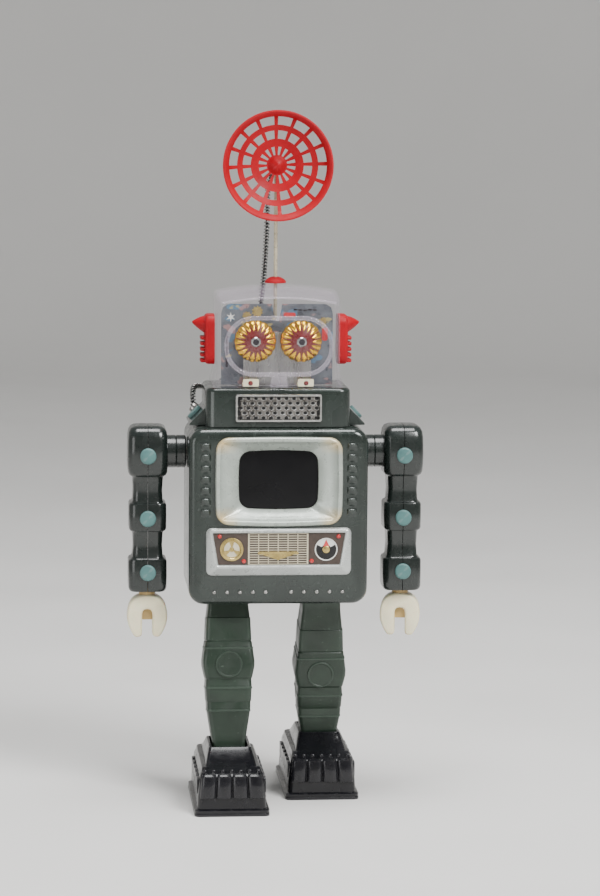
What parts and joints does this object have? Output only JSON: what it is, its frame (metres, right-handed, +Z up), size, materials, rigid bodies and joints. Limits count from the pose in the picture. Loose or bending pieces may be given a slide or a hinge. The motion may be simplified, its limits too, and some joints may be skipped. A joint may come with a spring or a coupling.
{
  "type": "clockwork walking robot toy",
  "caption": "Tin walking toy robot: clear head with spinning eyes, chest screen, dish aerial, swinging arms and legs, back key.",
  "frame": {"origin": "on the floor under the middle of the robot", "axes": "+Z up, -Y the way the robot faces, +X to the viewer's right when facing its front"},
  "size_m": [0.1578, 0.108, 0.368],
  "materials": {
    "green_tin": "dark green lacquered tin",
    "arm_plastic": "glossy dark green-black plastic",
    "leg_tin": "green lacquered tin",
    "boot_plastic": "glossy black plastic",
    "ivory": "aged ivory-silver paint",
    "tray_silver": "silver paint",
    "screen_black": "smoked screen",
    "card_brown": "printed card",
    "red_plastic": "red plastic",
    "eye_gold": "gold and dark red",
    "clear_plastic": "clear plastic, faintly lilac",
    "plate_litho": "printed tin",
    "cream_plastic": "cream plastic",
    "teal_plastic": "teal plastic",
    "steel": "plain steel",
    "brass": "brass",
    "rubber": "rubber"
  },
  "bodies": {
    "body": {"front_shell": "green_tin", "back_shell": "green_tin", "screen_bezel": "ivory", "screen_lens": "screen_black", "panel_tray": "tray_silver", "panel_card": "card_brown", "neck_box": "green_tin", "left_shoulder_disc": "teal_plastic", "right_shoulder_disc": "teal_plastic", "grille_frame": "tray_silver", "grille_mesh": "steel", "head_dome": "clear_plastic", "instrument_plate": "plate_litho", "eye_bracket": "cream_plastic", "eye_belt": "rubber", "left_ear": "red_plastic", "right_ear": "red_plastic", "mast": "steel", "mast_grommet": "red_plastic", "drive_spring": "steel", "left_motor_plate": "steel", "right_motor_plate": "steel"},
    "dish": {"dish": "red_plastic"},
    "left_eye": {"left_eye": "eye_gold"},
    "right_eye": {"right_eye": "eye_gold"},
    "head_shaft": {"head_drive_shaft": "steel"},
    "barrel": {"spring_barrel": "brass", "mainspring": "steel"},
    "spring_arbor": {"spring_arbor": "steel"},
    "crankshaft": {"crankshaft": "steel"},
    "governor": {"governor": "steel"},
    "picture_drum": {"picture_drum": "card_brown"},
    "key": {"winding_key": "steel"},
    "start_lever": {"start_lever": "red_plastic"},
    "left_arm": {"left_arm_inner": "arm_plastic", "left_arm_outer": "arm_plastic", "left_shoulder_stud": "teal_plastic", "left_elbow_stud": "teal_plastic", "left_wrist_stud": "teal_plastic", "left_shoulder_shaft": "steel"},
    "left_claw": {"left_claw": "cream_plastic"},
    "left_leg": {"left_leg_shell": "leg_tin", "left_leg_lever": "steel"},
    "left_foot": {"left_boot": "boot_plastic", "left_sole": "steel"},
    "left_front_roller": {"left_front_roller": "rubber"},
    "left_rear_roller": {"left_rear_roller": "rubber"},
    "right_arm": {"right_arm_inner": "arm_plastic", "right_arm_outer": "arm_plastic", "right_shoulder_stud": "teal_plastic", "right_elbow_stud": "teal_plastic", "right_wrist_stud": "teal_plastic", "right_shoulder_shaft": "steel"},
    "right_claw": {"right_claw": "cream_plastic"},
    "right_leg": {"right_leg_shell": "leg_tin", "right_leg_lever": "steel"},
    "right_foot": {"right_boot": "boot_plastic", "right_sole": "steel"},
    "right_front_roller": {"right_front_roller": "rubber"},
    "right_rear_roller": {"right_rear_roller": "rubber"}
  },
  "joints": [
    {"name": "barrel_spin", "type": "hinge", "parent": "body", "child": "barrel", "pos_m": [0, 0, 0.144], "axis": [1, 0, 0], "continuous": true},
    {"name": "crankshaft_spin", "type": "hinge", "parent": "body", "child": "crankshaft", "pos_m": [0, 0, 0.12], "axis": [1, 0, 0], "continuous": true},
    {"name": "governor_spin", "type": "hinge", "parent": "body", "child": "governor", "pos_m": [0, 0.012, 0.12], "axis": [1, 0, 0], "continuous": true},
    {"name": "picture_drum_spin", "type": "hinge", "parent": "body", "child": "picture_drum", "pos_m": [0, 0.002, 0.17594], "axis": [1, 0, 0], "continuous": true},
    {"name": "head_shaft_spin", "type": "hinge", "parent": "body", "child": "head_shaft", "pos_m": [-0.0121, 0.002, 0.2], "axis": [0, 0, 1], "continuous": true},
    {"name": "left_eye_spin", "type": "hinge", "parent": "body", "child": "left_eye", "pos_m": [-0.0121, -0.018, 0.2469], "axis": [0, 1, 0], "continuous": true},
    {"name": "right_eye_spin", "type": "hinge", "parent": "body", "child": "right_eye", "pos_m": [0.0121, -0.018, 0.2469], "axis": [0, 1, 0], "continuous": true},
    {"name": "dish_spin", "type": "hinge", "parent": "body", "child": "dish", "pos_m": [0, -0.0016, 0.3388], "axis": [0, 1, 0], "continuous": true},
    {"name": "key_turn", "type": "hinge", "parent": "body", "child": "key", "pos_m": [0.0122, 0.03, 0.144], "axis": [0, 1, 0], "continuous": true},
    {"name": "spring_arbor_turn", "type": "hinge", "parent": "body", "child": "spring_arbor", "pos_m": [0, 0, 0.144], "axis": [1, 0, 0], "continuous": true},
    {"name": "start_lever_slide", "type": "slide", "parent": "body", "child": "start_lever", "axis": [1, 0, 0], "range_m": [0, 0.006]},
    {"name": "left_leg_swing", "type": "hinge", "parent": "body", "child": "left_leg", "pos_m": [-0.0253, -0.0011, 0.123], "axis": [1, 0, 0], "range_deg": [0, 18]},
    {"name": "right_leg_swing", "type": "hinge", "parent": "body", "child": "right_leg", "pos_m": [0.0253, 0.0011, 0.117], "axis": [1, 0, 0], "range_deg": [-18, 0]},
    {"name": "left_ankle", "type": "hinge", "parent": "left_leg", "child": "left_foot", "pos_m": [-0.0253, -0.01768, 0.0183], "axis": [1, 0, 0], "range_deg": [-18, 0]},
    {"name": "right_ankle", "type": "hinge", "parent": "right_leg", "child": "right_foot", "pos_m": [0.0253, 0.01768, 0.0123], "axis": [1, 0, 0], "range_deg": [0, 18]},
    {"name": "left_arm_swing", "type": "hinge", "parent": "body", "child": "left_arm", "pos_m": [-0.0682, 0, 0.1865], "axis": [1, 0, 0], "range_deg": [-22.5, 0]},
    {"name": "right_arm_swing", "type": "hinge", "parent": "body", "child": "right_arm", "pos_m": [0.0682, 0, 0.1865], "axis": [1, 0, 0], "range_deg": [0, 22.5]},
    {"name": "left_claw_turn", "type": "hinge", "parent": "left_arm", "child": "left_claw", "pos_m": [-0.0682, 0, 0.1122], "axis": [0, 0, 1], "range_deg": [-90, 90]},
    {"name": "left_front_roller_spin", "type": "hinge", "parent": "left_foot", "child": "left_front_roller", "pos_m": [-0.0253, -0.03968, 0.00335], "axis": [1, 0, 0], "continuous": true},
    {"name": "left_rear_roller_spin", "type": "hinge", "parent": "left_foot", "child": "left_rear_roller", "pos_m": [-0.0253, 0.00432, 0.00335], "axis": [1, 0, 0], "continuous": true},
    {"name": "right_claw_turn", "type": "hinge", "parent": "right_arm", "child": "right_claw", "pos_m": [0.0682, 0, 0.1122], "axis": [0, 0, 1], "range_deg": [-90, 90]},
    {"name": "right_front_roller_spin", "type": "hinge", "parent": "right_foot", "child": "right_front_roller", "pos_m": [0.0253, -0.00432, 0.00335], "axis": [1, 0, 0], "continuous": true},
    {"name": "right_rear_roller_spin", "type": "hinge", "parent": "right_foot", "child": "right_rear_roller", "pos_m": [0.0253, 0.03968, 0.00335], "axis": [1, 0, 0], "continuous": true}
  ],
  "couplings": [
    {"joint": "crankshaft_spin", "follows": "barrel_spin", "ratio": -4},
    {"joint": "governor_spin", "follows": "barrel_spin", "ratio": 11},
    {"joint": "picture_drum_spin", "follows": "barrel_spin", "ratio": -1.5},
    {"joint": "head_shaft_spin", "follows": "barrel_spin", "ratio": -7.245},
    {"joint": "left_eye_spin", "follows": "barrel_spin", "ratio": 11.6},
    {"joint": "right_eye_spin", "follows": "barrel_spin", "ratio": 11.6},
    {"joint": "dish_spin", "follows": "barrel_spin", "ratio": 4},
    {"joint": "spring_arbor_turn", "follows": "key_turn", "ratio": -0.36364},
    {"joint": "right_leg_swing", "follows": "left_leg_swing", "ratio": -1},
    {"joint": "left_ankle", "follows": "left_leg_swing", "ratio": -1},
    {"joint": "right_ankle", "follows": "left_leg_swing", "ratio": 1},
    {"joint": "left_arm_swing", "follows": "left_leg_swing", "ratio": -1.25},
    {"joint": "right_arm_swing", "follows": "left_leg_swing", "ratio": 1.25},
    {"joint": "left_rear_roller_spin", "follows": "left_front_roller_spin", "ratio": 1},
    {"joint": "right_rear_roller_spin", "follows": "right_front_roller_spin", "ratio": 1}
  ]
}
